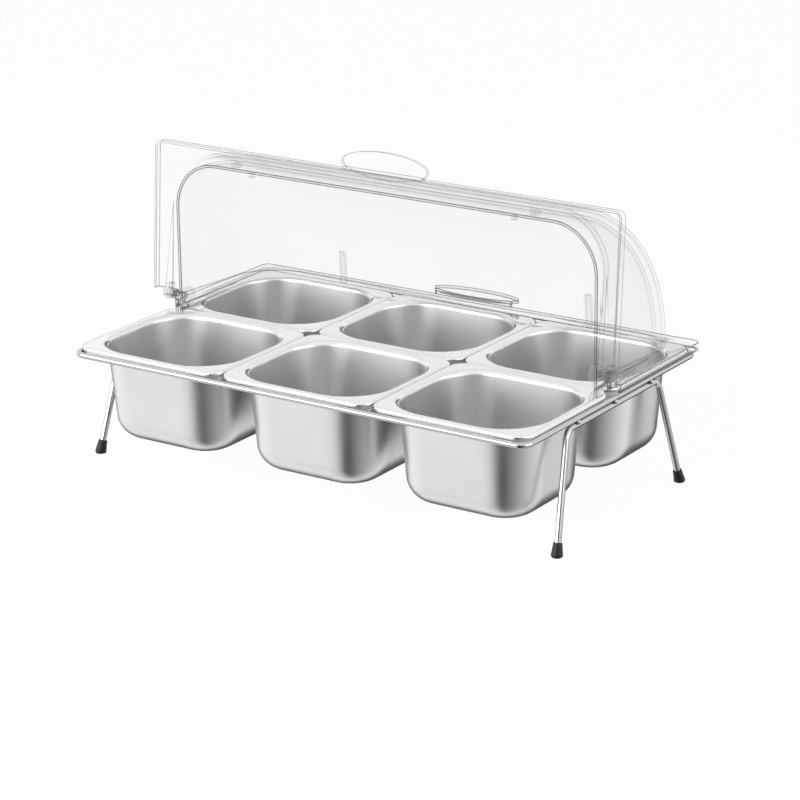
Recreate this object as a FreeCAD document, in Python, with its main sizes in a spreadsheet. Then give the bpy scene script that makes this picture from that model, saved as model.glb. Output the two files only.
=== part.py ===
import FreeCAD
import Part
import Sketcher
import math
import os
import re

SIZES = {
    # Pans of the sixth size: drawn sheet with a flat rim turned down at its edge
    "rim_height": 129,
    "pan_length": 176,
    "pan_width": 162,
    "pan_gap": 0.6,
    "rim_corner": 18,
    "rim_round": 3,
    "rim_edge": 5,
    "rim_flat": 10,
    "pan_sheet": 0.8,
    "opening_corner": 46,
    "mouth_bend": 6,
    "pan_depth": 100,
    "pan_taper": 5,
    "bottom_bend": 24,
    # Wire stand
    "ring_wire": 6,
    "ring_outset_long": 2.9,
    "ring_outset_wide": 3.7,
    "ring_bend": 14,
    "cross_wire": 5,
    "leg_wire": 6.5,
    "leg_bar": 156,
    "leg_bend": 12,
    "foot_outset": 6,
    "foot_spread_wide": 238,
    "seat_clearance": 0.3,
    "weld_clearance": 0.1,
    "weld_bead": 4.6,
    "weld_outset": 2.8,
    "weld_pitch": 70,
    # Rubber caps of the feet
    "cap_bottom": 11.5,
    "cap_top": 9,
    "cap_tall": 13.5,
    "cap_floor": 3,
    # Hinge axis of the cover, and what both halves share
    "hinge_forward": 1,
    "hinge_above_rim": 13.7,
    "cover_sheet": 3,
    "flange_sheet": 3.5,
    "flange_corner": 8,
    "flange_start": 8,
    "lip_sheet": 2.5,
    "tab_long": 102,
    "tab_reach": 19.5,
    "tab_overlap": 8.5,
    "tab_rise": 3,
    # Rear half
    "rear_inset_wide": 14.5,
    "rear_inset_long": 14.1,
    "rear_corner": 50,
    "rear_lap": 7,
    "rear_flange_outset_long": 3.9,
    "rear_flange_outset_wide": 7,
    "rear_lip": 4.9,
    # Flip half, outside the rear half
    "dome_gap": 4.5,
    "dome_end_gap": 4,
    "lid_opening": 94.2,
    "lid_short": 1.5,
    "lid_flange_outset": 10.9,
    "lid_flange_wide": 9.3,
    "lid_lip": 4.9,
    # Hinges, one at each end
    "eye_radius": 5.2,
    "eye_sheet": 4,
    "eye_web": 12,
    "eye_gap": 0.7,
    "eye_clearance": 0.4,
    "pin_width": 5,
    "pin_press_clearance": 0.02,
    "pin_running_clearance": 0.05,
    "pin_end_clearance": 0.6,
    "pin_head_width": 13,
    "pin_head_tall": 5,
    # Moulded details
    "boss_width": 20,
    "boss_tall": 5,
    "stop_from_corner": 44.5,
    "stop_long": 6,
    "stop_deep": 5,
    "stop_tall": 4.5,
    "stop_inset": 1.5,
    "guide_clearance": 0.45,
    "rib_from_corner": 49.5,
    "rib_long": 7,
    "rib_tall": 36,
    "pad_from_corner": 23.5,
    "pad_width": 11,
    "pad_back": 1,
    "overrun": 5,
}

FOLLOWING = {
    "pans_long": "3 * pan_length + 2 * pan_gap",
    "pans_wide": "2 * pan_width + pan_gap",
    "opening_length": "pan_length - 2 * rim_flat",
    "opening_width": "pan_width - 2 * rim_flat",
    "ring_long": "pans_long + 2 * ring_outset_long",
    "ring_wide": "pans_wide + 2 * ring_outset_wide",
    "foot_spread_long": "ring_long + 2 * foot_outset",
    "rear_radius": "pan_width - rear_inset_wide",
    "rear_long": "pans_long - 2 * rear_inset_long",
    "rear_flange_long": "pans_long + 2 * rear_flange_outset_long",
    "rear_flange_reach": "pans_wide / 2 + hinge_forward + rear_flange_outset_wide",
    "lid_radius": "rear_radius + dome_gap + cover_sheet",
    "lid_long": "rear_long + 2 * dome_end_gap + 2 * cover_sheet",
    "lid_corner": "rear_corner + cover_sheet",
    "lid_flange_long": "pans_long + 2 * lid_flange_outset",
    "lid_flange_reach": "lid_radius + lid_flange_wide",
    "rear_eye_start": "lid_long / 2 + eye_gap",
    "pin_start": "rear_eye_start - eye_clearance",
    "roof_flat_long": "rear_long - 2 * rear_corner",
    "stop_spread": "roof_flat_long - 2 * stop_from_corner",
    "rib_spread": "roof_flat_long - 2 * rib_from_corner",
    "pad_spread": "roof_flat_long - 2 * pad_from_corner",
    "rib_deep": "dome_gap - guide_clearance",
    "pad_tall": "dome_gap - 2 * guide_clearance",
}

doc = FreeCAD.newDocument("ServingStand")
sheet = doc.addObject("Spreadsheet::Sheet", "Sizes")
for row, (size_name, size) in enumerate(SIZES.items(), 1):
    sheet.set(f"A{row}", size_name)
    sheet.set(f"B{row}", str(size))
    sheet.setAlias(f"B{row}", size_name)
for row, (size_name, rule) in enumerate(FOLLOWING.items(), len(SIZES) + 1):
    sheet.set(f"A{row}", size_name)
    sheet.set(f"B{row}", f"={rule}")
    sheet.setAlias(f"B{row}", size_name)
doc.recompute()

nodes = []


def bound(text):
    """The text with every size name pointing at the sheet."""

    def point(found):
        return "Sizes." + found[0] if found[0] in SIZES or found[0] in FOLLOWING else found[0]

    return re.sub("[a-z_]+", point, text)


def value(text):
    result = sheet.evalExpression(bound(text))
    return float(getattr(result, "Value", result))


def bind(item, key, text):
    item.setExpression(key, bound(text))


def node(item, label):
    item.Label = label
    nodes.append(item)
    return item


def place(item, along="0", deep="0", high="0"):
    """Moves an item to a place read from the sheet."""
    bind(item, ".Placement.Base.x", along)
    bind(item, ".Placement.Base.y", deep)
    bind(item, ".Placement.Base.z", high)
    return item


def origin_plane(body, role):
    return next(item for item in body.Origin.OriginFeatures if item.Role == role)


def new_sketch(body, name, plane, lift):
    sketch = body.newObject("Sketcher::SketchObject", name)
    sketch.AttachmentSupport = [(origin_plane(body, plane), "")]
    sketch.MapMode = "FlatFace"
    bind(sketch, ".AttachmentOffset.Base.z", lift)
    return sketch


def constrain(sketch, *terms):
    return sketch.addConstraint(Sketcher.Constraint(*terms))


def fix(sketch, kind, geometry, point, text):
    """Holds one coordinate of a point at a signed distance from the sketch origin."""
    size = value(text)
    if abs(size) < 1e-9:
        constrain(sketch, "PointOnObject", geometry, point, -2 if kind == "DistanceX" else -1)
        return
    if size > 0:
        index = constrain(sketch, kind, -1, 1, geometry, point, size)
        bind(sketch, f"Constraints[{index}]", text)
    else:
        index = constrain(sketch, kind, geometry, point, -1, 1, -size)
        bind(sketch, f"Constraints[{index}]", f"-1 * ( {text} )")


def rounded(body, name, long, wide, corner, lift="0"):
    """A centred rectangle with round corners, lying flat."""
    sketch = new_sketch(body, name, "XY_Plane", lift)
    half_long, half_wide, radius = value(long) / 2, value(wide) / 2, value(corner)
    flat_long, flat_wide = half_long - radius, half_wide - radius
    vector = FreeCAD.Vector
    ends = [
        (vector(flat_long, half_wide), vector(-flat_long, half_wide)),
        (vector(-half_long, flat_wide), vector(-half_long, -flat_wide)),
        (vector(-flat_long, -half_wide), vector(flat_long, -half_wide)),
        (vector(half_long, -flat_wide), vector(half_long, flat_wide)),
    ]
    signs = [(-1, 1), (-1, -1), (1, -1), (1, 1)]
    for turn in range(4):
        centre = vector(signs[turn][0] * flat_long, signs[turn][1] * flat_wide)
        circle = Part.Circle(centre, vector(0, 0, 1), radius)
        sketch.addGeometry(Part.LineSegment(*ends[turn]))
        start = math.radians(90 + 90 * turn)
        sketch.addGeometry(Part.ArcOfCircle(circle, start, start + math.radians(90)))
    for turn in range(4):
        constrain(sketch, "Tangent", 2 * turn, 2, 2 * turn + 1, 1)
        constrain(sketch, "Tangent", 2 * turn + 1, 2, (2 * turn + 2) % 8, 1)
    for line, kind in ((0, "Horizontal"), (2, "Vertical"), (4, "Horizontal"), (6, "Vertical")):
        constrain(sketch, kind, line)
    for arc in (3, 5, 7):
        constrain(sketch, "Equal", 1, arc)
    constrain(sketch, "Symmetric", 0, 1, 4, 1, -1, 1)
    bind(sketch, f"Constraints[{constrain(sketch, 'Radius', 1, radius)}]", corner)
    span = constrain(sketch, "DistanceX", 2, 1, 6, 1, 2 * half_long)
    bind(sketch, f"Constraints[{span}]", long)
    reach = constrain(sketch, "DistanceY", 4, 1, 0, 1, 2 * half_wide)
    bind(sketch, f"Constraints[{reach}]", wide)
    doc.recompute()
    return sketch


def polygon(body, name, plane, corners, lift="0", arc_line=None):
    """A closed outline through corners; one side may be an arc about the sketch origin."""
    sketch = new_sketch(body, name, plane, lift)
    points = [FreeCAD.Vector(value(first), value(second)) for first, second in corners]
    count = len(points)
    for index in range(count):
        start, end = points[index], points[(index + 1) % count]
        if index == arc_line:
            circle = Part.Circle(FreeCAD.Vector(), FreeCAD.Vector(0, 0, 1), start.Length)
            turn_start, turn_end = math.atan2(start.y, start.x), math.atan2(end.y, end.x)
            sketch.addGeometry(Part.ArcOfCircle(circle, min(turn_start, turn_end), max(turn_start, turn_end)))
        else:
            sketch.addGeometry(Part.LineSegment(start, end))
    backward = arc_line is not None and points[arc_line].x < points[(arc_line + 1) % count].x
    for index in range(count):
        after = (index + 1) % count
        tail = 1 if index == arc_line and backward else 2
        head = 2 if after == arc_line and backward else 1
        constrain(sketch, "Coincident", index, tail, after, head)
    if arc_line is not None:
        constrain(sketch, "Coincident", arc_line, 3, -1, 1)
    for index, (first, second) in enumerate(corners):
        point = 2 if index == arc_line and backward else 1
        fix(sketch, "DistanceX", index, point, first)
        if arc_line is None or index != (arc_line + 1) % count:
            fix(sketch, "DistanceY", index, point, second)
    doc.recompute()
    return sketch


def pad(body, name, sketch, length, both=False, down=False, taper="0"):
    feature = body.newObject("PartDesign::Pad", name)
    feature.Profile = sketch
    bind(feature, "Length", length)
    bind(feature, "TaperAngle", taper)
    feature.Midplane = both
    feature.Reversed = down
    doc.recompute()
    return feature


def pocket(body, name, sketch, length, up=False, taper="0"):
    feature = body.newObject("PartDesign::Pocket", name)
    feature.Profile = sketch
    bind(feature, "Length", length)
    bind(feature, "TaperAngle", taper)
    feature.Reversed = up
    doc.recompute()
    return feature


def fillet(body, name, base, edges, radius):
    feature = body.newObject("PartDesign::Fillet", name)
    feature.Base = (base, edges)
    bind(feature, "Radius", radius)
    doc.recompute()
    return feature


def level_edges(feature, height, long, wide):
    """Names of the edges at one height that lie inside a centred rectangle."""
    level, half_long, half_wide = value(height), value(long) / 2, value(wide) / 2
    slack = value("pan_sheet") / 8
    names = []
    for index, edge in enumerate(feature.Shape.Edges, 1):
        box = edge.BoundBox
        flat = abs(box.ZMin - level) < slack and abs(box.ZMax - level) < slack
        inside = max(-box.XMin, box.XMax) < half_long + slack and max(-box.YMin, box.YMax) < half_wide + slack
        if flat and inside:
            names.append(f"Edge{index}")
    return names


def new_body(name):
    return doc.addObject("PartDesign::Body", name)


def rod(name, width, length, turn_axis, turn):
    """A round bar from its own origin, turned from upright."""
    bar = doc.addObject("Part::Cylinder", name)
    bind(bar, "Radius", f"{width} / 2")
    bind(bar, "Height", length)
    bar.Placement.Rotation = FreeCAD.Rotation(FreeCAD.Vector(*turn_axis), turn)
    return bar


def block(name, long, deep, high):
    box = doc.addObject("Part::Box", name)
    bind(box, "Length", long)
    bind(box, "Width", deep)
    bind(box, "Height", high)
    return box


def group(kind, name, items):
    joined = doc.addObject(kind, name)
    if kind == "Part::Compound":
        joined.Links = items
    else:
        joined.Shapes = items
    return joined


def cut(name, base, tool):
    result = doc.addObject("Part::Cut", name)
    result.Base = base
    result.Tool = tool
    return result


# Heights shared by the stand
RING_LEVEL = "rim_height - rim_edge - seat_clearance - ring_wire / 2"
CROSS_LEVEL = "rim_height - rim_edge - seat_clearance - cross_wire / 2"
LONG_LEVEL = f"{CROSS_LEVEL} - cross_wire - weld_clearance"
BAR_LEVEL = f"{RING_LEVEL} - ring_wire / 2 - weld_clearance - leg_wire / 2"
LEG_LINE = "( ring_long - ring_wire ) / 2"

# Ring: one wire bent to a rounded rectangle
ring_body = new_body("RingBody")
ring_path = rounded(
    ring_body, "RingPath", "ring_long - ring_wire", "ring_wide - ring_wire", "ring_bend - ring_wire / 2"
)
ring_section = new_sketch(ring_body, "RingSection", "YZ_Plane", "ring_long / 2 - ring_bend")
ring_section.addGeometry(
    Part.Circle(
        FreeCAD.Vector(value("( ring_wide - ring_wire ) / 2"), 0), FreeCAD.Vector(0, 0, 1), value("ring_wire / 2")
    )
)
fix(ring_section, "DistanceX", 0, 3, "( ring_wide - ring_wire ) / 2")
fix(ring_section, "DistanceY", 0, 3, "0")
bind(ring_section, f"Constraints[{constrain(ring_section, 'Diameter', 0, value('ring_wire'))}]", "ring_wire")
doc.recompute()
ring_pipe = ring_body.newObject("PartDesign::AdditivePipe", "RingPipe")
ring_pipe.Profile = ring_section
ring_pipe.Spine = (ring_path, [])
doc.recompute()
node(place(ring_body, high=RING_LEVEL), "top_ring")

# Cross wires under the joints between the columns, and the tie wire below them
for side, side_sign in (("left", "-1"), ("right", "1")):
    wire = rod(f"CrossWire_{side}", "cross_wire", "ring_wide - 2 * ring_wire", (1, 0, 0), -90)
    place(wire, f"{side_sign} * ( pan_length + pan_gap ) / 2", "ring_wire - ring_wide / 2", CROSS_LEVEL)
    node(wire, f"cross_wire_{side}")
tie_half = f"{LEG_LINE} - leg_wire / 2 - weld_clearance"
tie = rod("TieWire", "cross_wire", f"2 * ( {tie_half} )", (0, 1, 0), 90)
node(place(tie, f"-1 * ( {tie_half} )", "0", LONG_LEVEL), "long_wire")

# Legs: a bar under each end of the ring, bent down to two splayed feet
foot_drop = value(f"{BAR_LEVEL} - cap_floor")
splay = math.degrees(math.atan2(value(f"foot_spread_long / 2 - {LEG_LINE}"), foot_drop))
drop_text = f"( {BAR_LEVEL} - cap_floor ) / cos({splay})"
bend_centre = FreeCAD.Vector(value("leg_bar / 2"), -value("leg_bend"))
foot_end = FreeCAD.Vector(value("foot_spread_wide / 2"), -value(drop_text))
run = foot_end - bend_centre
leg_turn = math.asin(value("leg_bend") / run.Length) - math.atan2(run.y, run.x)
bend_end = bend_centre + FreeCAD.Vector(math.sin(leg_turn), math.cos(leg_turn)) * value("leg_bend")
legs = {}
for side, side_sign in (("left", -1), ("right", 1)):
    leg = new_body(f"LegBody_{side}")
    path = new_sketch(leg, f"LegPath_{side}", "YZ_Plane", "0")
    path.addGeometry(Part.LineSegment(FreeCAD.Vector(), FreeCAD.Vector(value("leg_bar / 2"), 0)))
    bend = Part.Circle(bend_centre, FreeCAD.Vector(0, 0, 1), value("leg_bend"))
    path.addGeometry(Part.ArcOfCircle(bend, math.pi / 2 - leg_turn, math.pi / 2))
    path.addGeometry(Part.LineSegment(bend_end, foot_end))
    constrain(path, "Coincident", 0, 1, -1, 1)
    constrain(path, "Horizontal", 0)
    constrain(path, "Tangent", 0, 2, 1, 2)
    constrain(path, "Tangent", 1, 1, 2, 1)
    bind(path, f"Constraints[{constrain(path, 'Radius', 1, value('leg_bend'))}]", "leg_bend")
    fix(path, "DistanceX", 0, 2, "leg_bar / 2")
    fix(path, "DistanceX", 2, 2, "foot_spread_wide / 2")
    fix(path, "DistanceY", 2, 2, f"-1 * ( {drop_text} )")
    section = new_sketch(leg, f"LegSection_{side}", "XZ_Plane", "0")
    section.addGeometry(Part.Circle(FreeCAD.Vector(), FreeCAD.Vector(0, 0, 1), value("leg_wire / 2")))
    constrain(section, "Coincident", 0, 3, -1, 1)
    bind(section, f"Constraints[{constrain(section, 'Diameter', 0, value('leg_wire'))}]", "leg_wire")
    doc.recompute()
    pipe = leg.newObject("PartDesign::AdditivePipe", f"LegPipe_{side}")
    pipe.Profile = section
    pipe.Spine = (path, [])
    doc.recompute()
    mirror = leg.newObject("PartDesign::Mirrored", f"LegMirror_{side}")
    mirror.Originals = [pipe]
    mirror.MirrorPlane = (origin_plane(leg, "XZ_Plane"), [""])
    leg.Tip = mirror
    doc.recompute()
    leg.Placement.Rotation = FreeCAD.Rotation(FreeCAD.Vector(0, 1, 0), -side_sign * splay)
    place(leg, f"{side_sign} * {LEG_LINE}", "0", BAR_LEVEL)
    doc.recompute()
    legs[side] = node(leg, f"leg_wire_{side}")

# Weld beads on the outside, between the ring and the leg bars
beads = []
for side, side_sign in (("left", "-1"), ("right", "1")):
    for step in ("-1", "0", "1"):
        bead = doc.addObject("Part::Sphere", f"Bead_{side}_{len(beads)}")
        bind(bead, "Radius", "weld_bead / 2")
        place(
            bead,
            f"{side_sign} * ( {LEG_LINE} + weld_outset )",
            f"{step} * weld_pitch",
            f"{RING_LEVEL} - ring_wire / 2 - weld_clearance / 2",
        )
        beads.append(bead)
wires = group("Part::Compound", "WeldedWires", [ring_body, legs["left"], legs["right"]])
node(cut("WeldBeads", group("Part::Compound", "BeadBalls", beads), wires), "weld_beads")

# Caps on the feet, in line with the legs and flat on the table
floor_block = place(
    block("FloorBlock", "2 * foot_spread_long", "2 * foot_spread_wide", "cap_tall"),
    "-1 * foot_spread_long",
    "-1 * foot_spread_wide",
    "-1 * cap_tall",
)
for row, row_sign in (("front", -1), ("rear", 1)):
    for side, side_sign in (("left", -1), ("right", 1)):
        down = legs[side].Placement.Rotation.multVec(
            FreeCAD.Vector(0, row_sign * (foot_end.x - bend_end.x), foot_end.y - bend_end.y)
        )
        upward = down.normalize().negative()
        wire_end = legs[side].Placement.multVec(FreeCAD.Vector(0, row_sign * foot_end.x, foot_end.y))
        cone = doc.addObject("Part::Cone", f"CapCone_{row}_{side}")
        bind(cone, "Radius1", "cap_bottom / 2")
        bind(cone, "Radius2", "cap_top / 2")
        bind(cone, "Height", "cap_tall + cap_floor")
        cone.Placement = FreeCAD.Placement(
            wire_end - upward * value("2 * cap_floor"), FreeCAD.Rotation(FreeCAD.Vector(0, 0, 1), upward)
        )
        hollow = group("Part::Compound", f"CapTools_{row}_{side}", [legs[side], floor_block])
        node(cut(f"Cap_{row}_{side}", cone, hollow), f"foot_{row}_{side}")

# Pans
columns = (("left", "-1"), ("middle", "0"), ("right", "1"))
well_long, well_wide = "opening_length + 2 * pan_sheet", "opening_width + 2 * pan_sheet"
for row, row_sign in (("front", "-1"), ("rear", "1")):
    for column, column_sign in columns:
        key = f"{row}_{column}"
        pan = new_body(f"PanBody_{key}")
        outline = rounded(pan, f"RimOutline_{key}", "pan_length", "pan_width", "rim_corner")
        pad(pan, f"Rim_{key}", outline, "rim_edge", down=True)
        outline = rounded(
            pan,
            f"RimHollowOutline_{key}",
            "pan_length - 2 * pan_sheet",
            "pan_width - 2 * pan_sheet",
            "rim_corner - pan_sheet",
            "-1 * rim_edge",
        )
        feature = pocket(pan, f"RimHollow_{key}", outline, "rim_edge - pan_sheet", up=True)
        edges = level_edges(feature, "-1 * pan_sheet", "pan_length", "pan_width")
        feature = fillet(pan, f"RimHollowRound_{key}", feature, edges, "rim_round - pan_sheet")
        fillet(pan, f"RimRound_{key}", feature, level_edges(feature, "0", "pan_length", "pan_width"), "rim_round")
        outline = rounded(
            pan, f"WellOutline_{key}", well_long, well_wide, "opening_corner + pan_sheet", "-1 * pan_sheet"
        )
        pad(pan, f"Well_{key}", outline, "pan_depth - pan_sheet", down=True, taper="-1 * pan_taper")
        outline = rounded(pan, f"HollowOutline_{key}", "opening_length", "opening_width", "opening_corner")
        feature = pocket(pan, f"Hollow_{key}", outline, "pan_depth - pan_sheet", taper="-1 * pan_taper")
        edges = level_edges(feature, "pan_sheet - pan_depth", well_long, well_wide)
        feature = fillet(pan, f"FloorBend_{key}", feature, edges, "bottom_bend")
        edges = level_edges(feature, "-1 * pan_depth", well_long, well_wide)
        feature = fillet(pan, f"WellBend_{key}", feature, edges, "bottom_bend + pan_sheet")
        edges = level_edges(feature, "-1 * pan_sheet", well_long, well_wide)
        feature = fillet(pan, f"NeckBend_{key}", feature, edges, "mouth_bend - pan_sheet")
        edges = level_edges(feature, "0", "opening_length", "opening_width")
        fillet(pan, f"MouthBend_{key}", feature, edges, "mouth_bend")
        place(
            pan,
            f"{column_sign} * ( pan_length + pan_gap )",
            f"{row_sign} * ( pan_width + pan_gap ) / 2",
            "rim_height",
        )
        node(pan, f"pan_{key}")

# The cover is drawn about its hinge axis: the flange lies below the axis
DROP = "( hinge_above_rim - seat_clearance )"


def dome_edges(feature, radius, long):
    """Names of the end edges where the roof of a dome meets its end walls."""
    reach, half = value(radius), value(long) / 2
    slack = value("pan_sheet") / 8
    names = []
    for index, edge in enumerate(feature.Shape.Edges, 1):
        box = edge.BoundBox
        middle = edge.valueAt((edge.FirstParameter + edge.LastParameter) / 2)
        on_end = abs(abs(box.Center.x) - half) < slack and box.XLength < slack
        roof_reaches = (abs(middle.y), middle.z, math.hypot(middle.y, middle.z))
        if on_end and any(abs(roof_reach - reach) < slack for roof_reach in roof_reaches):
            names.append(f"Edge{index}")
    return names


def dome(name, corners, arc_line, radius, long, corner):
    body = new_body(name)
    outline = polygon(body, f"{name}Outline", "YZ_Plane", corners, arc_line=arc_line)
    feature = pad(body, f"{name}Pad", outline, long, both=True)
    fillet(body, f"{name}Corner", feature, dome_edges(feature, radius, long), corner)
    return body


def flange(name, back, long, reach, lip):
    """Flat flange with its lip turned down on three sides, open toward the hinge."""
    body = new_body(name)
    depth = f"2 * {reach}"
    outline = rounded(body, f"{name}Outline", long, depth, "flange_corner", f"-1 * {DROP} - {lip}")
    pad(body, f"{name}Plate", outline, f"flange_sheet + {lip}")
    outline = rounded(
        body,
        f"{name}LipOutline",
        f"{long} - 2 * lip_sheet",
        f"{depth} - 2 * lip_sheet",
        "flange_corner - lip_sheet",
        f"-1 * {DROP} - {lip}",
    )
    pocket(body, f"{name}LipHollow", outline, lip, up=True)
    start, end = ("-1 * flange_start", f"{reach} + overrun")
    if back:
        start, end = (f"-1 * {reach} - overrun", "flange_start")
    half = f"( {long} / 2 + overrun )"
    corners = [(f"-1 * {half}", start), (half, start), (half, end), (f"-1 * {half}", end)]
    outline = polygon(body, f"{name}Opening", "XY_Plane", corners, f"flange_sheet + overrun - {DROP}")
    pocket(body, f"{name}HingeSide", outline, f"flange_sheet + {lip} + 2 * overrun")
    return body


def tab(name, sign, reach):
    """Finger tab: an oval plate one step above the flange, on a short riser."""
    half_wide = "( tab_reach + tab_overlap ) / 2"
    middle = f"( tab_reach - {half_wide} )"
    outline = doc.addObject("Part::Ellipse", f"{name}Outline")
    bind(outline, "MajorRadius", "tab_long / 2")
    bind(outline, "MinorRadius", half_wide)
    place(outline, "0", f"{sign} * ( {reach} + {middle} )", f"tab_rise + flange_sheet - {DROP}")
    plate = doc.addObject("Part::Extrusion", f"{name}Plate")
    plate.Base = outline
    plate.DirMode = "Custom"
    plate.Dir = FreeCAD.Vector(0, 0, 1)
    plate.Solid = True
    bind(plate, "LengthFwd", "flange_sheet")
    riser_half = f"( tab_long / 2 * sqrt(1 - {middle} * {middle} / ( {half_wide} * {half_wide} )) )"
    riser = block(f"{name}Riser", f"2 * {riser_half}", "lip_sheet", "tab_rise + flange_sheet")
    edge = f"{reach} - lip_sheet" if sign == "1" else f"-1 * {reach}"
    place(riser, f"-1 * {riser_half}", edge, f"flange_sheet - {DROP}")
    return [plate, riser]


def eye(name, side_sign, start, sign):
    """Hinge eye with the web that carries it from the flange."""
    left = f"{start}" if side_sign > 0 else f"-1 * ( {start} + eye_sheet )"
    ring = rod(f"{name}Ring", "2 * eye_radius", "eye_sheet", (0, 1, 0), 90)
    place(ring, left)
    web = block(f"{name}Web", "eye_sheet", "eye_web", DROP)
    place(web, left, "0" if sign > 0 else "-1 * eye_web", f"-1 * {DROP}")
    return [ring, web]


def eye_hole(name, clearance):
    hole = rod(name, f"( pin_width + 2 * {clearance} )", "lid_flange_long + 2 * overrun", (0, 1, 0), 90)
    return place(hole, "-1 * lid_flange_long / 2 - overrun")


LID_EYE_START = "( rear_eye_start + eye_sheet + eye_clearance )"

# Rear half
roof_corners = [
    ("-1 * rear_lap", f"-1 * {DROP}"),
    ("rear_radius", f"-1 * {DROP}"),
    ("rear_radius", "0"),
    ("0", "rear_radius"),
    ("-1 * rear_lap", "rear_radius"),
]
rear_outer = dome("RearOuter", roof_corners, 2, "rear_radius", "rear_long", "rear_corner")
inner_radius = "( rear_radius - cover_sheet )"
hollow_corners = [
    ("-1 * rear_lap - overrun", f"-1 * {DROP} - overrun"),
    (inner_radius, f"-1 * {DROP} - overrun"),
    (inner_radius, "0"),
    ("0", inner_radius),
    ("-1 * rear_lap - overrun", inner_radius),
]
rear_inner = dome(
    "RearInner", hollow_corners, 2, inner_radius, "rear_long - 2 * cover_sheet", "rear_corner - cover_sheet"
)
rear_pieces = [rear_outer, flange("RearFlange", True, "rear_flange_long", "rear_flange_reach", "rear_lip")]
rear_pieces += tab("RearTab", "1", "rear_flange_reach")
for side, side_sign in (("Left", -1), ("Right", 1)):
    rear_pieces += eye(f"RearEye{side}", side_sign, "rear_eye_start", 1)
rear_tools = group("Part::Compound", "RearTools", [rear_inner, eye_hole("RearEyeHole", "pin_press_clearance")])
rear_cover = cut("RearCover", group("Part::MultiFuse", "RearWhole", rear_pieces), rear_tools)

# Flip half, drawn closed and turned open about the hinge axis
lid_corners = [
    ("0", f"-1 * {DROP}"),
    ("-1 * lid_radius", f"-1 * {DROP}"),
    ("-1 * lid_radius", "0"),
    ("-1 * lid_radius * sin(lid_short)", "lid_radius * cos(lid_short)"),
    ("0", "0"),
]
lid_outer = dome("LidOuter", lid_corners, 2, "lid_radius", "lid_long", "lid_corner")
inner_radius = "( lid_radius - cover_sheet )"
hollow_corners = [
    ("overrun", f"-1 * {DROP} - overrun"),
    (f"-1 * {inner_radius}", f"-1 * {DROP} - overrun"),
    (f"-1 * {inner_radius}", "0"),
    ("0", inner_radius),
    ("overrun", inner_radius),
]
lid_inner = dome(
    "LidInner", hollow_corners, 2, inner_radius, "lid_long - 2 * cover_sheet", "lid_corner - cover_sheet"
)
lid_pieces = [lid_outer, flange("LidFlange", False, "lid_flange_long", "lid_flange_reach", "lid_lip")]
lid_pieces += tab("LidTab", "-1", "lid_flange_reach")
for side, side_sign in (("Left", -1), ("Right", 1)):
    lid_pieces += eye(f"LidEye{side}", side_sign, LID_EYE_START, -1)
lid_tools = group("Part::Compound", "LidTools", [lid_inner, eye_hole("LidEyeHole", "pin_running_clearance")])
front_lid = cut("FrontLid", group("Part::MultiFuse", "LidWhole", lid_pieces), lid_tools)

# Hinge pins with round heads outside the eyes
pins = {}
head_start = f"( {LID_EYE_START} + eye_sheet + pin_end_clearance )"
for side, side_sign in (("left", -1), ("right", 1)):
    shank_length = f"( {head_start} - pin_start )"
    shank = rod(f"PinShank_{side}", "pin_width", shank_length, (0, 1, 0), 90)
    head = rod(f"PinHead_{side}", "pin_head_width", "pin_head_tall", (0, 1, 0), 90)
    place(shank, "pin_start" if side_sign > 0 else f"-1 * {head_start}")
    place(head, head_start if side_sign > 0 else f"-1 * ( {head_start} + pin_head_tall )")
    pins[side] = group("Part::MultiFuse", f"Pin_{side}", [shank, head])

# Moulded details of the two halves
wall = "( rear_long / 2 - cover_sheet )"
roof = "( rear_radius - cover_sheet )"
boss_items, stop_items, rib_items, pad_items = [], [], [], []
for side, side_sign in (("left", -1), ("right", 1)):
    boss = rod(f"Boss_{side}", "boss_width", "boss_tall", (0, 1, 0), 90)
    boss_start = f"{wall} - boss_tall" if side_sign > 0 else f"-1 * {wall}"
    boss_items.append(place(boss, boss_start))
    stop = block(f"Stop_{side}", "stop_long", "stop_deep", "stop_tall")
    stop_start = f"{side_sign} * stop_spread / 2 - stop_long / 2"
    stop_items.append(place(stop, stop_start, "stop_inset - rear_lap", f"{roof} - stop_tall"))
    rib = block(f"Rib_{side}", "rib_long", "2 * rib_deep", "rib_tall")
    rib_start = f"{side_sign} * rib_spread / 2 - rib_long / 2"
    rib_items.append(place(rib, rib_start, "rear_radius - rib_deep", f"flange_sheet - {DROP}"))
    cushion = rod(f"Cushion_{side}", "pad_width", "2 * pad_tall", (0, 0, 1), 0)
    pad_items.append(place(cushion, f"{side_sign} * pad_spread / 2", "pad_back", "rear_radius - pad_tall"))
rib_round = rod("RibRound", "2 * ( rear_radius + rib_deep )", "2 * rib_spread", (0, 1, 0), 90)
place(rib_round, "-1 * rib_spread")
rib_trim = doc.addObject("Part::Common", "RibTrim")
rib_trim.Base = group("Part::Compound", "RibBlocks", rib_items)
rib_trim.Tool = rib_round
ribs = cut("GuideRibs", rib_trim, rear_outer)
bosses = group("Part::Compound", "EndBosses", boss_items)
stops = group("Part::Compound", "ArchStops", stop_items)
cushions = cut("BumperPads", group("Part::Compound", "CushionRods", pad_items), rear_outer)

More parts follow.
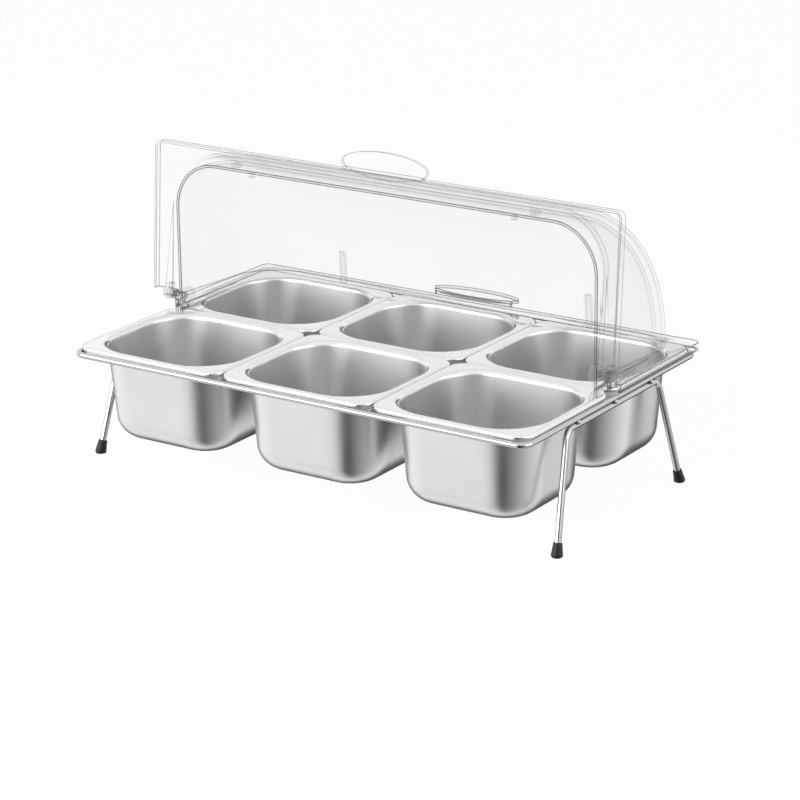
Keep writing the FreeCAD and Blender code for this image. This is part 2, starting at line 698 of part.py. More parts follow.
# The cover stands on the pan rims with its hinge axis a little in front of the joint between the rows
still = (
    (rear_cover, "rear_cover"),
    (pins["left"], "hinge_pin_left"),
    (pins["right"], "hinge_pin_right"),
    (bosses, "end_bosses"),
    (stops, "arch_stops"),
    (ribs, "guide_ribs"),
    (cushions, "bumper_pads"),
)
for item, label in still:
    node(place(item, "0", "-1 * hinge_forward", "rim_height + hinge_above_rim"), label)
front_lid.Placement.Rotation = FreeCAD.Rotation(FreeCAD.Vector(1, 0, 0), -value("lid_opening"))
node(place(front_lid, "0", "-1 * hinge_forward", "rim_height + hinge_above_rim"), "front_lid")
doc.recompute()

for item in doc.Objects:
    if "Invalid" in item.State or "Error" in item.State:
        raise RuntimeError(f"{item.Name}: {item.State}")
os.makedirs("parts", exist_ok=True)
for item in nodes:
    if item.Shape.isNull() or not item.Shape.isValid():
        raise RuntimeError(f"{item.Label}: shape not valid")
    item.Shape.exportStep(f"parts/{item.Label}.step")
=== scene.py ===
import math

import bmesh
import bpy
from mathutils import Matrix, Vector


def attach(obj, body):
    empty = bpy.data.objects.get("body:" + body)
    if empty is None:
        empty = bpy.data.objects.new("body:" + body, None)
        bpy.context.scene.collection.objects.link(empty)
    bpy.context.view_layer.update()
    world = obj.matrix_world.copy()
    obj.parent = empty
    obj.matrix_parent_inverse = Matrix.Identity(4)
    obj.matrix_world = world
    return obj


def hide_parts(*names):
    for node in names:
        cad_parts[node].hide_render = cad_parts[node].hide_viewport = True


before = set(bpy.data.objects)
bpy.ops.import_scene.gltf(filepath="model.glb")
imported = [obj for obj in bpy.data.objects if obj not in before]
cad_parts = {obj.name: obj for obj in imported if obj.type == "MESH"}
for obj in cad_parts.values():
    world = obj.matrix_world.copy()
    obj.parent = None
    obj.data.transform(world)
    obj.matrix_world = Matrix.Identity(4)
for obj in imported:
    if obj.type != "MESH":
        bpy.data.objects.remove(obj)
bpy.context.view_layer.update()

MM = 0.001

# Pans, in millimetres
PITCH_LONG, PITCH_WIDE = 176.6, 162.6
PAN_COLUMNS = {"left": -PITCH_LONG, "middle": 0.0, "right": PITCH_LONG}
PAN_ROWS = {"front": -PITCH_WIDE / 2, "rear": PITCH_WIDE / 2}
RIM_HEIGHT = 129.0
RIM_LONG, RIM_WIDE, RIM_CORNER = 176.0, 162.0, 18.0
RIM_EDGE, RIM_ROUND = 5.0, 3.0
MOUTH_LONG, MOUTH_WIDE, MOUTH_CORNER = 156.0, 142.0, 46.0
MOUTH_BEND, FLOOR_BEND, LEAST_CORNER = 6.0, 24.0, 3.0
PAN_SHEET, PAN_DEPTH, PAN_TAPER = 0.8, 100.0, 5.0
# Short flats beside the bends of the well, the rim's side and its top: they keep the bends' shading narrow
LEAD, SIDE_LEAD, TOP_LEAD = 0.4, 0.2, 0.3
# Rounded cut edge of the rim, from the inside out: share of the sheet, and rise in millimetres
CUT_EDGE = ((1.0, 0.3), (0.75, 0.1), (0.5, 0.0), (0.25, 0.1), (0.0, 0.3))

# Wire stand, in millimetres
RIM_GAP, WIRE_GAP = 0.3, 0.1
RING_WIRE, RING_LONG, RING_WIDE, RING_BEND = 6.0, 535.0, 332.0, 14.0
CROSS_WIRE = 5.0
LEG_WIRE, LEG_BAR, LEG_BEND = 6.5, 156.0, 12.0
FOOT_LONG, FOOT_WIDE = 547.0, 238.0
SEAT = RIM_HEIGHT - RIM_EDGE - RIM_GAP
RING_LEVEL = SEAT - RING_WIRE / 2
CROSS_LEVEL = SEAT - CROSS_WIRE / 2
TIE_LEVEL = CROSS_LEVEL - CROSS_WIRE - WIRE_GAP
BAR_LEVEL = RING_LEVEL - RING_WIRE / 2 - WIRE_GAP - LEG_WIRE / 2
LEG_LINE = (RING_LONG - RING_WIRE) / 2
BEAD, BEAD_OUTSET, BEAD_PITCH = 4.6, 2.8, 70.0
CAP_BOTTOM, CAP_TOP, CAP_TALL, CAP_FLOOR = 11.5, 9.0, 13.5, 3.0
CAP_GAP, CAP_SOCKET = 0.05, 1.5
# Turned profile of a cap, from the middle of its sole to the wire: radius and height
CAP_PROFILE = (
    (0.0, 0.0),
    (CAP_BOTTOM / 2 - 0.9, 0.0),
    (CAP_BOTTOM / 2 - 0.25, 0.25),
    (CAP_BOTTOM / 2, 0.9),
    (CAP_BOTTOM / 2 - 0.05, 2.2),
    (CAP_TOP / 2 + 0.35, CAP_TALL - 4.5),
    (CAP_TOP / 2, CAP_TALL - 1.0),
    (CAP_TOP / 2 - 0.2, CAP_TALL - 0.3),
    (CAP_TOP / 2 - 0.7, CAP_TALL),
    (LEG_WIRE / 2 + CAP_GAP, CAP_TALL),
    (LEG_WIRE / 2 + CAP_GAP, CAP_TALL - CAP_SOCKET),
    (0.0, CAP_TALL - CAP_SOCKET),
)

# Edge rounds of the small mouldings, in millimetres
MOULDED_ROUNDS = {
    "hinge_pin_left": 0.6,
    "hinge_pin_right": 0.6,
    "end_bosses": 0.6,
    "arch_stops": 0.5,
    "guide_ribs": 0.5,
    "bumper_pads": 0.5,
}


# Nodes


def linear(code):
    """Linear colour of an sRGB hex value."""
    parts = (int(code[i : i + 2], 16) / 255 for i in (1, 3, 5))
    return [c / 12.92 if c <= 0.04045 else ((c + 0.055) / 1.055) ** 2.4 for c in parts] + [1.0]


def add(tree, kind, inputs=None, **settings):
    """A node with its settings, and its inputs set to values or linked to other nodes' outputs."""
    node = tree.nodes.new(kind)
    for name, setting in settings.items():
        setattr(node, name, setting)
    for name, source in (inputs or {}).items():
        if isinstance(source, bpy.types.NodeSocket):
            tree.links.new(source, node.inputs[name])
        else:
            node.inputs[name].default_value = source
    return node


def noise(tree, place, size, **inputs):
    """Noise whose coarsest blobs are about size millimetres across."""
    values = {"Vector": place, "Scale": 1 / (size * MM), **inputs}
    return add(tree, "ShaderNodeTexNoise", values).outputs["Fac"]


def spread(tree, value, start, end, low=0.0, high=1.0, kind="LINEAR"):
    """A value that goes from low to high while another goes from start to end."""
    values = {"Value": value, "From Min": start, "From Max": end, "To Min": low, "To Max": high}
    return add(tree, "ShaderNodeMapRange", values, interpolation_type=kind).outputs["Result"]


def compute(tree, operation, *numbers):
    """The outcome of a Math node on two or three numbers."""
    return add(tree, "ShaderNodeMath", dict(enumerate(numbers)), operation=operation).outputs["Value"]


def mix(tree, factor, first, second, kind="FLOAT"):
    """A blend of two numbers, or of two colours where the kind is RGBA."""
    values = {"Factor": factor, "A": first, "B": second}
    return add(tree, "ShaderNodeMix", values, data_type=kind).outputs["Result"]


def mix_shaders(tree, factor, first, second):
    return add(tree, "ShaderNodeMixShader", {0: factor, 1: first, 2: second}).outputs["Shader"]


# Materials


def new_material(name):
    material = bpy.data.materials.new(name)
    material.use_nodes = True
    material.node_tree.nodes.clear()
    return material, material.node_tree


def polished_wire_steel():
    # Drawn stainless wire, electropolished: mirror bright with faint drawing marks and a little haze
    material, tree = new_material("polished_stainless_wire")
    place = add(tree, "ShaderNodeTexCoord").outputs["Object"]
    # Drawing marks about 1.6 mm long
    marks = noise(tree, place, 1.6, Detail=3.0, Roughness=0.6)
    rough = spread(tree, marks, 0.3, 0.7, 0.12, 0.15)
    shader = add(
        tree,
        "ShaderNodeBsdfPrincipled",
        {"Base Color": linear("#B0B0AF"), "Metallic": 1.0, "Roughness": rough},
    )
    add(tree, "ShaderNodeOutputMaterial", {"Surface": shader.outputs["BSDF"]})
    return material


def satin_pan_steel():
    # Deep-drawn 18/8 sheet: satin wells with a fine blasted grain, and rims polished bright at the top
    material, tree = new_material("satin_stainless_sheet")
    place = add(tree, "ShaderNodeTexCoord").outputs["Object"]
    height = add(tree, "ShaderNodeSeparateXYZ", {"Vector": place}).outputs["Z"]
    # 1.2 mm grain, coarser than the real 0.2 mm so that it still shows
    grain = noise(tree, place, 1.2, Detail=4.0, Roughness=0.65)
    # Patches about 45 mm across, duller and brighter by turns
    cloud = noise(tree, place, 45, Detail=2.0)
    satin = spread(tree, cloud, 0.3, 0.7, 0.29, 0.34)
    # Draw marks about 2.5 mm apart that run down the wells
    downward = add(tree, "ShaderNodeMapping", {"Vector": place, "Scale": (1.0, 1.0, 0.03)})
    marks = noise(tree, downward.outputs["Vector"], 2.5, Detail=2.0)
    drawn = compute(tree, "MULTIPLY_ADD", marks, 0.08, satin)
    # The polish sets in between 4.5 and 2 mm below the top of the rim
    dull, bright = (RIM_HEIGHT - 4.5) * MM, (RIM_HEIGHT - 2.0) * MM
    rim = spread(tree, height, dull, bright, kind="SMOOTHSTEP")
    rough = mix(tree, rim, drawn, 0.14)
    bump = add(tree, "ShaderNodeBump", {"Height": grain, "Strength": 0.05, "Distance": 0.05 * MM})
    shader = add(
        tree,
        "ShaderNodeBsdfPrincipled",
        {
            "Base Color": linear("#D2D2D1"),
            "Metallic": 1.0,
            "Roughness": rough,
            "Normal": bump.outputs["Normal"],
        },
    )
    add(tree, "ShaderNodeOutputMaterial", {"Surface": shader.outputs["BSDF"]})
    return material


def clear_polycarbonate(name, painted_edge_shade, edge_round, edge_clear, clear_facing, clear_turned):
    # Moulded clear polycarbonate: glossy and glass clear face on, with a faint veil where it turns away,
    # and
    # painted shade: grey lines along its edges, painted in place of the light their rounding bends aside
    material, tree = new_material(name)
    place = add(tree, "ShaderNodeTexCoord").outputs["Object"]
    # Flow marks about 60 mm across, as a moulding has them
    flow = noise(tree, place, 60, Detail=2.0)
    haze = spread(tree, flow, 0.3, 0.7, 0.03, 0.09)
    # An edge is where a rounded normal turns away from the plain one
    rounding = add(tree, "ShaderNodeBevel", {"Radius": edge_round * MM}, samples=6)
    surface = add(tree, "ShaderNodeNewGeometry")
    along = add(
        tree,
        "ShaderNodeVectorMath",
        {0: rounding.outputs["Normal"], 1: surface.outputs["Normal"]},
        operation="DOT_PRODUCT",
    )
    edge = spread(tree, along.outputs["Value"], 0.998, 0.955)
    # Painted shade: a dark colour along the edges, in place of the light that their rounding bends aside
    body_and_painted_edge = mix(tree, edge, linear("#B4B4B4"), linear(painted_edge_shade), "RGBA")
    shader = add(
        tree,
        "ShaderNodeBsdfPrincipled",
        {"Base Color": body_and_painted_edge, "Metallic": 0.0, "Roughness": haze, "IOR": 1.58},
    )
    facing = add(tree, "ShaderNodeLayerWeight", {"Blend": 0.5}).outputs["Facing"]
    clear = spread(tree, facing, 0.3, 1.0, clear_facing, clear_turned)
    # A thin painted grey outline where a surface is seen edge on, in place of the light bent aside there
    painted_outline = compute(tree, "POWER", facing, 14.0)
    dimmed = compute(tree, "MULTIPLY_ADD", painted_outline, -0.5, clear)
    seen_through = mix(tree, edge, dimmed, edge_clear)
    path = add(tree, "ShaderNodeLightPath").outputs
    share = compute(tree, "MAXIMUM", path["Is Shadow Ray"], seen_through)
    through = add(tree, "ShaderNodeBsdfTransparent", {"Color": linear("#FFFFFF")})
    mixed = mix_shaders(tree, share, shader.outputs["BSDF"], through.outputs["BSDF"])
    add(tree, "ShaderNodeOutputMaterial", {"Surface": mixed})
    return material


def black_rubber():
    # Moulded black rubber: matt, with a fine dusty grain
    material, tree = new_material("black_moulded_rubber")
    place = add(tree, "ShaderNodeTexCoord").outputs["Object"]
    # Grain about 0.9 mm across
    grain = noise(tree, place, 0.9, Detail=3.0)
    colour = add(tree, "ShaderNodeValToRGB", {"Fac": grain})
    colour.color_ramp.elements[0].color = linear("#040404")
    colour.color_ramp.elements[1].color = linear("#0C0C0C")
    bump = add(tree, "ShaderNodeBump", {"Height": grain, "Strength": 0.3, "Distance": 0.1 * MM})
    shader = add(
        tree,
        "ShaderNodeBsdfPrincipled",
        {
            "Base Color": colour.outputs["Color"],
            "Roughness": 0.5,
            "Specular IOR Level": 0.35,
            "Normal": bump.outputs["Normal"],
        },
    )
    add(tree, "ShaderNodeOutputMaterial", {"Surface": shader.outputs["BSDF"]})
    return material


WIRE_STEEL = polished_wire_steel()
PAN_STEEL = satin_pan_steel()
# Copies of one polycarbonate with painted edge shade, darkest and least clear on the rear dome
REAR_CLEAR = clear_polycarbonate(
    "clear_polycarbonate_rear",
    painted_edge_shade="#101010",
    edge_round=2.4,
    edge_clear=0.0,
    clear_facing=0.975,
    clear_turned=0.955,
)
LID_CLEAR = clear_polycarbonate(
    "clear_polycarbonate_lid",
    painted_edge_shade="#484848",
    edge_round=1.4,
    edge_clear=0.2,
    clear_facing=0.975,
    clear_turned=0.96,
)
MOULDED = clear_polycarbonate(
    "moulded_polycarbonate",
    painted_edge_shade="#505050",
    edge_round=1.2,
    edge_clear=0.3,
    clear_facing=0.88,
    clear_turned=0.7,
)
RUBBER = black_rubber()


# Pieces


def link(name, data):
    """A new object in the scene."""
    thing = bpy.data.objects.new(name, data)
    bpy.context.scene.collection.objects.link(thing)
    return thing


def add_piece(name, mesh, material, body, slot, *nodes):
    """Links a finished mesh as a piece that rides on a body and stands for CAD nodes."""
    piece = link(name, mesh)
    mesh.materials.clear()
    mesh.materials.append(material)
    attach(piece, body)
    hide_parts(*nodes)


def smooth(mesh, angle):
    mesh.shade_smooth()
    mesh.set_sharp_from_angle(angle=math.radians(angle))


def finish_mesh(mesh, name, angle):
    """Mesh data of an edited mesh, smooth but for edges that turn by more than the angle."""
    result = bpy.data.meshes.new(name)
    mesh.to_mesh(result)
    mesh.free()
    smooth(result, angle)
    return result


# Pans


def quarter_turn(steps):
    """Angles from 0 to 90 degrees, in radians."""
    return [math.radians(90 * step / steps) for step in range(steps + 1)]


def rounded_ring(half_long, half_wide, corner, height):
    """Points of a rounded rectangle at one height, always the same number, from the front side on."""
    corner_steps, side_steps = 14, 8
    points = []
    centres = ((1, -1, -90), (1, 1, 0), (-1, 1, 90), (-1, -1, 180))
    for sign_long, sign_wide, start in centres:
        for step in range(corner_steps + 1):
            turn = math.radians(start + 90 * step / corner_steps)
            along = sign_long * (half_long - corner) + corner * math.cos(turn)
            across = sign_wide * (half_wide - corner) + corner * math.sin(turn)
            points.append(Vector((along, across, height)))
    ring = []
    for index, point in enumerate(points):
        ring.append(point)
        if index % (corner_steps + 1) == corner_steps:
            following = points[(index + 1) % len(points)]
            ring += [point.lerp(following, step / side_steps) for step in range(1, side_steps)]
    return ring


def wall_profile(sheet, depth, mouth, floor):
    """Inset and height of one wall from the rim to the flat of the floor: bend, tapered wall, bend."""
    mouth_steps, floor_steps = 8, 14
    taper = math.radians(PAN_TAPER)
    bend = math.radians(90 - PAN_TAPER)
    profile = []
    flat = mouth * math.tan(bend / 2)
    for step in range(mouth_steps + 1):
        turn = bend * step / mouth_steps
        profile.append((mouth * math.sin(turn) - flat, mouth * math.cos(turn) - mouth))
    run = floor * math.tan(bend / 2)
    centre_inset = depth * math.tan(taper) + run
    wall_end = (centre_inset - floor * math.cos(taper), floor - depth - floor * math.sin(taper))
    wall_start = profile[-1]
    # The first and last rows lie close to the bends, to keep their shading off the wall
    for share in (0.008, 0.25, 0.5, 0.75, 0.992):
        profile.append(tuple(start + (end - start) * share for start, end in zip(wall_start, wall_end)))
    for step in range(floor_steps + 1):
        turn = taper + bend * step / floor_steps
        profile.append((centre_inset - floor * math.cos(turn), floor - depth - floor * math.sin(turn)))
    profile.append((centre_inset + LEAD, -depth))
    return [(inset - sheet, height) for inset, height in profile]


def well_ring(inset, height):
    corner = max(MOUTH_CORNER - inset, LEAST_CORNER)
    return rounded_ring(MOUTH_LONG / 2 - inset, MOUTH_WIDE / 2 - inset, corner, height)


def rim_ring(inset, height):
    return rounded_ring(RIM_LONG / 2 - inset, RIM_WIDE / 2 - inset, RIM_CORNER - inset, height)


def pan_rings():
    """Rings of a pan from the middle of its underside, round the rim, to the middle of its floor."""
    depth = PAN_DEPTH - PAN_SHEET
    inner = wall_profile(0.0, depth, MOUTH_BEND, FLOOR_BEND)
    outer = wall_profile(PAN_SHEET, depth, MOUTH_BEND - PAN_SHEET, FLOOR_BEND + PAN_SHEET)
    underside = [well_ring(inset, height - PAN_SHEET) for inset, height in reversed(outer)]
    rim = []
    hollow_round = RIM_ROUND - PAN_SHEET
    for turn in quarter_turn(6):
        inset = RIM_ROUND - hollow_round * math.sin(turn)
        rim.append(rim_ring(inset, hollow_round * math.cos(turn) - RIM_ROUND))
    for share, rise in CUT_EDGE:
        rim.append(rim_ring(PAN_SHEET * share, rise - RIM_EDGE))
    rim.append(rim_ring(0.0, -RIM_ROUND - SIDE_LEAD))
    for turn in quarter_turn(9):
        rim.append(rim_ring(RIM_ROUND * (1 - math.cos(turn)), RIM_ROUND * (math.sin(turn) - 1)))
    rim.append(rim_ring(RIM_ROUND + TOP_LEAD, 0.0))
    well = [well_ring(inner[0][0] - LEAD, 0.0)]
    well += [well_ring(inset, height) for inset, height in inner]
    return underside + rim + well


def build_pan(place):
    mesh = bmesh.new()
    rows = []
    for ring in pan_rings():
        rows.append([mesh.verts.new((point + place) * MM) for point in ring])
    for low, high in zip(rows, rows[1:]):
        for index in range(len(low)):
            after = (index + 1) % len(low)
            mesh.faces.new((low[index], low[after], high[after], high[index]))
    for end, height in ((rows[0], -PAN_DEPTH), (rows[-1], PAN_SHEET - PAN_DEPTH)):
        middle = mesh.verts.new((place + Vector((0, 0, height))) * MM)
        for index in range(len(end)):
            mesh.faces.new((end[index], end[(index + 1) % len(end)], middle))
    bmesh.ops.recalc_face_normals(mesh, faces=mesh.faces)
    return finish_mesh(mesh, "pan", angle=50)


for row, deep in PAN_ROWS.items():
    for column, along in PAN_COLUMNS.items():
        key = f"pan_{row}_{column}"
        mesh = build_pan(Vector((along, deep, RIM_HEIGHT)))
        add_piece(f"drawn_{key}", mesh, PAN_STEEL, key, "pan", key)


# Wires, bent from straight runs by Geometry Nodes


def new_tree(name, result, **inputs):
    """A geometry tree with its named inputs and one result, and the outputs that give these inputs."""
    tree = bpy.data.node_groups.new(name, "GeometryNodeTree")
    for title, kind in inputs.items():
        tree.interface.new_socket(title, in_out="INPUT", socket_type=f"NodeSocket{kind}")
    tree.interface.new_socket(result, in_out="OUTPUT", socket_type="NodeSocketGeometry")
    return tree, add(tree, "NodeGroupInput").outputs


def close_tree(tree, geometry, finish, result):
    """Ends a tree with plain geometry in its material."""
    plain = add(tree, "GeometryNodeRealizeInstances", {"Geometry": geometry})
    values = {"Geometry": plain.outputs["Geometry"], "Material": finish}
    finished = add(tree, "GeometryNodeSetMaterial", values)
    add(tree, "NodeGroupOutput", {result: finished.outputs["Geometry"]})
    return tree


def wire_tree():
    tree, given = new_tree(
        "bent_wire", "Wire", Route="Geometry", Width="Float", Bend="Float", Finish="Material"
    )
    route = add(tree, "GeometryNodeMeshToCurve", {"Mesh": given["Route"]})
    bent = add(
        tree,
        "GeometryNodeFilletCurve",
        {"Curve": route.outputs["Curve"], "Count": 14, "Radius": given["Bend"]},
        mode="POLY",
    )
    half = compute(tree, "MULTIPLY", given["Width"], 0.5)
    section = add(
        tree,
        "GeometryNodeCurvePrimitiveCircle",
        {"Resolution": 24, "Radius": half},
        mode="RADIUS",
    )
    swept = add(
        tree,
        "GeometryNodeCurveToMesh",
        {"Curve": bent.outputs["Curve"], "Profile Curve": section.outputs["Curve"], "Fill Caps": True},
    )
    return close_tree(tree, swept.outputs["Mesh"], given["Finish"], "Wire")


def bead_tree():
    tree, given = new_tree("weld_beads", "Beads", Places="Geometry", Width="Float", Finish="Material")
    half = compute(tree, "MULTIPLY", given["Width"], 0.5)
    ball = add(tree, "GeometryNodeMeshUVSphere", {"Segments": 24, "Rings": 14, "Radius": half})
    beads = add(
        tree,
        "GeometryNodeInstanceOnPoints",
        {"Points": given["Places"], "Instance": ball.outputs["Mesh"]},
    )
    return close_tree(tree, beads.outputs["Instances"], given["Finish"], "Beads")


WIRE_TREE = wire_tree()
BEAD_TREE = bead_tree()


def grow(tree, points, pairs, **inputs):
    """Plain mesh that a tree makes from points in millimetres, of which the pairs are joined."""
    start = bpy.data.meshes.new("route")
    start.from_pydata([Vector(point) * MM for point in points], pairs, [])
    carrier = link("route", start)
    modifier = carrier.modifiers.new("grow", "NODES")
    modifier.node_group = tree
    for item in tree.interface.items_tree:
        if item.in_out == "INPUT" and item.name in inputs:
            modifier[item.identifier] = inputs[item.name]
    ready = carrier.evaluated_get(bpy.context.evaluated_depsgraph_get())
    mesh = bpy.data.meshes.new_from_object(ready)
    bpy.data.objects.remove(carrier)
    bpy.data.meshes.remove(start)
    smooth(mesh, angle=40)
    return mesh


def wire(name, node, points, width, bend, closed=False):
    pairs = [(index, index + 1) for index in range(len(points) - 1)]
    if closed:
        pairs.append((len(points) - 1, 0))
    mesh = grow(WIRE_TREE, points, pairs, Width=width * MM, Bend=bend * MM, Finish=WIRE_STEEL)
    add_piece(name, mesh, WIRE_STEEL, "stand", "wire", node)


ring_x, ring_y = LEG_LINE, (RING_WIDE - RING_WIRE) / 2
ring_signs = ((1, -1), (1, 1), (-1, 1), (-1, -1))
ring_points = [(x * ring_x, y * ring_y, RING_LEVEL) for x, y in ring_signs]
wire("ring_wire", "top_ring", ring_points, RING_WIRE, RING_BEND - RING_WIRE / 2, closed=True)
cross_reach = RING_WIDE / 2 - RING_WIRE
for side, along in (("left", -PITCH_LONG / 2), ("right", PITCH_LONG / 2)):
    cross_points = [(along, -cross_reach, CROSS_LEVEL), (along, cross_reach, CROSS_LEVEL)]
    wire(f"cross_wire_{side}_piece", f"cross_wire_{side}", cross_points, CROSS_WIRE, 0.0)
tie_reach = LEG_LINE - LEG_WIRE / 2 - WIRE_GAP
tie_points = [(-tie_reach, 0, TIE_LEVEL), (tie_reach, 0, TIE_LEVEL)]
wire("tie_wire", "long_wire", tie_points, CROSS_WIRE, 0.0)

# Legs: the bend and the splay follow from the bar and the foot places
splay = math.atan2(FOOT_LONG / 2 - LEG_LINE, BAR_LEVEL - CAP_FLOOR)
drop = (BAR_LEVEL - CAP_FLOOR) / math.cos(splay)
run_out, run_down = FOOT_WIDE / 2 - LEG_BAR / 2, drop - LEG_BEND
leg_turn = math.asin(LEG_BEND / math.hypot(run_out, run_down)) + math.atan2(run_down, run_out)
knee = LEG_BAR / 2 + LEG_BEND * math.tan(leg_turn / 2)
LEG_ENDS = {}
for side, sign in (("left", -1), ("right", 1)):
    foot_x = sign * (LEG_LINE + drop * math.sin(splay))
    points = [
        (foot_x, -FOOT_WIDE / 2, CAP_FLOOR),
        (sign * LEG_LINE, -knee, BAR_LEVEL),
        (sign * LEG_LINE, knee, BAR_LEVEL),
        (foot_x, FOOT_WIDE / 2, CAP_FLOOR),
    ]
    wire(f"leg_{side}", f"leg_wire_{side}", points, LEG_WIRE, LEG_BEND)
    LEG_ENDS["front", side] = (Vector(points[0]), Vector(points[1]))
    LEG_ENDS["rear", side] = (Vector(points[3]), Vector(points[2]))

bead_places = [
    (sign * (LEG_LINE + BEAD_OUTSET), step * BEAD_PITCH, RING_LEVEL - RING_WIRE / 2)
    for sign in (-1, 1)
    for step in (-1, 0, 1)
]
bead_mesh = grow(BEAD_TREE, bead_places, [], Width=BEAD * MM, Finish=WIRE_STEEL)
add_piece("ring_weld_beads", bead_mesh, WIRE_STEEL, "stand", "wire", "weld_beads")


# Rubber caps: in line with the legs, flat where they stand


def build_cap(foot, knee_point):
    steps = 40
    upward = (knee_point - foot).normalized()
    turn = upward.to_track_quat("Z", "X")
    start = foot - upward * CAP_FLOOR
    mesh = bmesh.new()
    rows = []
    for radius, height in CAP_PROFILE:
        row = []
        for step in range(steps if radius else 1):
            angle = 2 * math.pi * step / steps
            point = start + turn @ Vector((radius * math.cos(angle), radius * math.sin(angle), height))
            if height == 0.0:
                point.z = 0.0
            elif height < CAP_TALL / 2:
                point.z = max(point.z, 0.0)
            row.append(mesh.verts.new(point * MM))
        rows.append(row)
    for low, high in zip(rows, rows[1:]):
        for step in range(steps):
            after = (step + 1) % steps
            corners = [
                low[step % len(low)],
                low[after % len(low)],
                high[after % len(high)],
                high[step % len(high)],
            ]
            mesh.faces.new(list(dict.fromkeys(corners)))
    bmesh.ops.recalc_face_normals(mesh, faces=mesh.faces)
    return finish_mesh(mesh, "cap", angle=50)


for (row, side), (foot, knee_point) in LEG_ENDS.items():
    mesh = build_cap(foot, knee_point)
    add_piece(f"rubber_cap_{row}_{side}", mesh, RUBBER, "stand", "cap", f"foot_{row}_{side}")


# Clear cover: the moulded solids with joined surfaces, and small edges rounded


def moulded(node, round_edge, angle):
    """A CAD node's mesh with its triangles joined and, where a round is given, its sharp edges rounded."""
    mesh = bmesh.new()
    mesh.from_mesh(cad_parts[node].data)
    bmesh.ops.remove_doubles(mesh, verts=mesh.verts, dist=0.002 * MM)
    if round_edge:
        flat, sharp = math.radians(1), math.radians(35)
        bmesh.ops.dissolve_limit(mesh, angle_limit=flat, verts=mesh.verts, edges=mesh.edges)
        edges = [edge for edge in mesh.edges if edge.is_manifold and edge.calc_face_angle() > sharp]
        bmesh.ops.bevel(
            mesh,
            geom=edges,
            offset=round_edge * MM,
            segments=2,
            profile=0.5,
            affect="EDGES",
            clamp_overlap=True,
        )
    return finish_mesh(mesh, node, angle)


rear_mesh = moulded("rear_cover", round_edge=0, angle=25)
add_piece("rear_dome", rear_mesh, REAR_CLEAR, "cover", "cover", "rear_cover")
lid_mesh = moulded("front_lid", round_edge=0, angle=25)
add_piece("flip_dome", lid_mesh, LID_CLEAR, "lid", "cover", "front_lid")
for node, round_edge in MOULDED_ROUNDS.items():
    mesh = moulded(node, round_edge, angle=35)
    add_piece(f"moulded_{node}", mesh, MOULDED, "cover", "cover", node)


# Studio: white paper floor, white surroundings, two softboxes


def studio_floor():
    # Seamless white paper: matt, and as bright to the eye as the surroundings, with the shadow kept
    material, tree = new_material("white_paper")
    path = add(tree, "ShaderNodeLightPath").outputs
    seen = compute(tree, "MAXIMUM", path["Is Camera Ray"], path["Is Glossy Ray"])
    seen = compute(tree, "MAXIMUM", seen, path["Is Transmission Ray"])
    # The rest shows the lamps' light, and with it the shadow
    share = compute(tree, "MULTIPLY", seen, 0.96)
    paper = add(tree, "ShaderNodeBsdfDiffuse", {"Color": linear("#F6F6F6")})
    glow = add(tree, "ShaderNodeEmission", {"Color": linear("#FFFFFF"), "Strength": 1.0})
    mixed = mix_shaders(tree, share, paper.outputs["BSDF"], glow.outputs["Emission"])
    add(tree, "ShaderNodeOutputMaterial", {"Surface": mixed})
    mesh = bpy.data.meshes.new("floor")
    reach, level = 12.0, -0.1 * MM
    signs = ((-1, -1), (1, -1), (1, 1), (-1, 1))
    mesh.from_pydata([(x * reach, y * reach, level) for x, y in signs], [], [(0, 1, 2, 3)])
    mesh.materials.append(material)
    floor = link("floor", mesh)
    floor.visible_glossy = False


# Brightness round the studio that metal mirrors, by the angle from the front toward the right, in degrees:
# white walls at the left and rear, a dark gap beside the camera, a grey wall at the right
ROOM = (
    (-180, 1.4),
    (-120, 1.4),
    (-60, 1.2),
    (-34, 1.0),
    (-4, 0.9),
    (5, 0.35),
    (12, 0.01),
    (30, 0.01),
    (38, 0.2),
    (65, 0.42),
    (100, 0.8),
    (146, 1.25),
    (180, 1.4),
)
CEILING = 1.3
# Where the table lies in the stand's own shade, seen from between the pans, and how bright it is there
SHADE = Vector((-0.38, 0.79, -0.49)).normalized()
SHADE_LEVEL = 0.02
# Even light on all that doesn't mirror
SOFT_LIGHT = 0.45


def grey(level):
    return (level, level, level, 1.0)


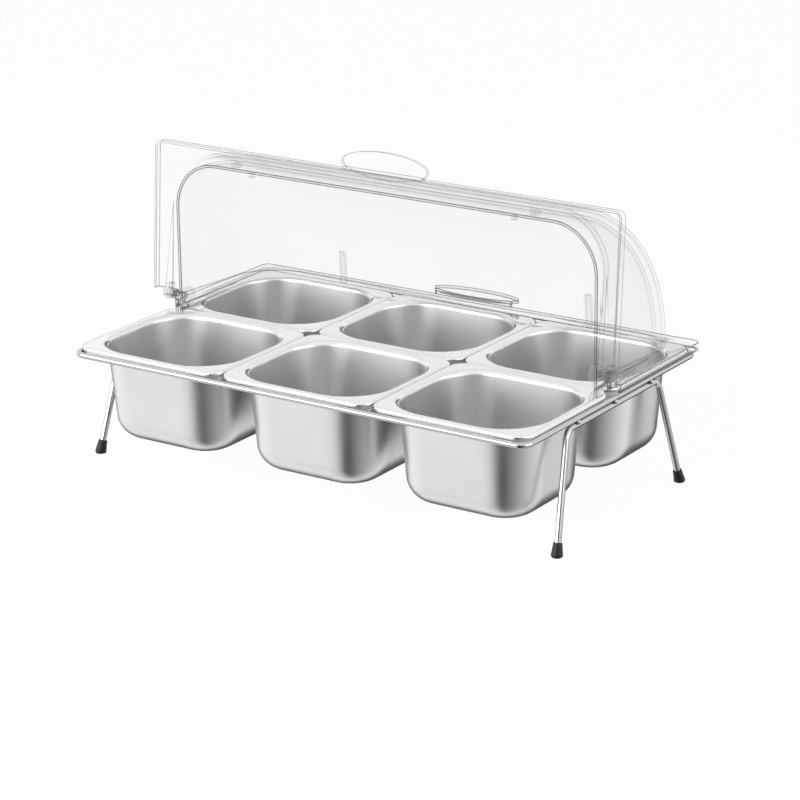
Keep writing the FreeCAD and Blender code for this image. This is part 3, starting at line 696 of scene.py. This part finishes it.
def studio_world():
    """White to the eye all round; metal mirrors the studio's walls."""
    world = bpy.data.worlds.new("studio")
    bpy.context.scene.world = world
    world.use_nodes = True
    tree = world.node_tree
    tree.nodes.clear()
    path = add(tree, "ShaderNodeLightPath").outputs
    direction = add(tree, "ShaderNodeTexCoord").outputs["Generated"]
    part = add(tree, "ShaderNodeSeparateXYZ", {"Vector": direction}).outputs
    toward = compute(tree, "MULTIPLY", part["Y"], -1.0)
    angle = compute(tree, "ARCTAN2", part["X"], toward)
    walls = add(tree, "ShaderNodeValToRGB", {"Fac": spread(tree, angle, -math.pi, math.pi)})
    ramp = walls.color_ramp
    for degrees, level in ROOM[1:-1]:
        ramp.elements.new((degrees + 180) / 360).color = grey(level)
    ramp.elements[0].color = grey(ROOM[0][1])
    ramp.elements[len(ROOM) - 1].color = grey(ROOM[-1][1])
    # The walls are brighter from table height up, and a bright ceiling lies over them
    lift = spread(tree, part["Z"], -0.4, -0.05, 1.0, 1.12, kind="SMOOTHSTEP")
    lit_walls = add(
        tree,
        "ShaderNodeVectorMath",
        {0: walls.outputs["Color"], "Scale": lift},
        operation="SCALE",
    )
    high = spread(tree, part["Z"], 0.1, 0.45, kind="SMOOTHSTEP")
    ceiling = mix(tree, high, lit_walls.outputs["Vector"], grey(CEILING), "RGBA")
    toward_shade = add(tree, "ShaderNodeVectorMath", {0: direction, 1: SHADE}, operation="DOT_PRODUCT")
    shade = spread(tree, toward_shade.outputs["Value"], 0.66, 0.8, kind="SMOOTHSTEP")
    around = mix(tree, shade, ceiling, grey(SHADE_LEVEL), "RGBA")
    seen = compute(tree, "MAXIMUM", path["Is Camera Ray"], path["Is Transmission Ray"])
    white = add(tree, "ShaderNodeBackground", {"Color": linear("#FFFFFF"), "Strength": 1.0})
    room = add(tree, "ShaderNodeBackground", {"Color": around, "Strength": 1.0})
    soft = add(tree, "ShaderNodeBackground", {"Color": linear("#FFFFFF"), "Strength": SOFT_LIGHT})
    lit = mix_shaders(tree, path["Is Glossy Ray"], soft.outputs["Background"], room.outputs["Background"])
    mixed = mix_shaders(tree, seen, lit, white.outputs["Background"])
    add(tree, "ShaderNodeOutputWorld", {"Surface": mixed})


def softbox(name, place, size, power):
    """A broad lamp at a place in metres, turned toward the stand."""
    lamp = bpy.data.lights.new(name, "AREA")
    lamp.shape = "RECTANGLE"
    lamp.size, lamp.size_y = size
    lamp.energy = power
    holder = link(name, lamp)
    holder.location = place
    middle_of_stand = Vector((0.0, 0.0, 0.1))
    toward = (middle_of_stand - Vector(place)).to_track_quat("-Z", "Y")
    holder.rotation_euler = toward.to_euler()


# Camera, fitted to the photograph's rims, feet and cover edges
AZIMUTH, ELEVATION, DISTANCE = math.radians(33.83), math.radians(18.84), 3.0478
LENS, SENSOR, ROLL = 135.0, 36.0, math.radians(-0.7)
AIM_RIGHT, AIM_UP = 0.01567, 0.06745


def fitted_camera():
    back = Vector(
        (
            math.sin(AZIMUTH) * math.cos(ELEVATION),
            -math.cos(AZIMUTH) * math.cos(ELEVATION),
            math.sin(ELEVATION),
        )
    )
    level_right = Vector((math.cos(AZIMUTH), math.sin(AZIMUTH), 0.0))
    level_up = back.cross(level_right)
    right = level_right * math.cos(ROLL) + level_up * math.sin(ROLL)
    up = back.cross(right)
    aim = level_right * AIM_RIGHT + level_up * AIM_UP
    stand = Matrix((right, up, back)).transposed().to_4x4()
    stand.translation = aim + back * DISTANCE
    lens = bpy.data.cameras.new("camera")
    lens.lens = LENS
    lens.sensor_width = SENSOR
    lens.clip_end = 60.0
    camera = link("camera", lens)
    camera.matrix_world = stand
    bpy.context.scene.camera = camera


fitted_camera()
studio_floor()
studio_world()
softbox("softbox_front", place=(-0.85, -1.95, 0.6), size=(2.8, 1.2), power=48.0)
softbox("softbox_right", place=(2.1, 0.05, 0.6), size=(2.2, 1.1), power=15.0)
bpy.context.scene.cycles.transparent_max_bounces = 32
bpy.context.scene.view_settings.view_transform = "Standard"
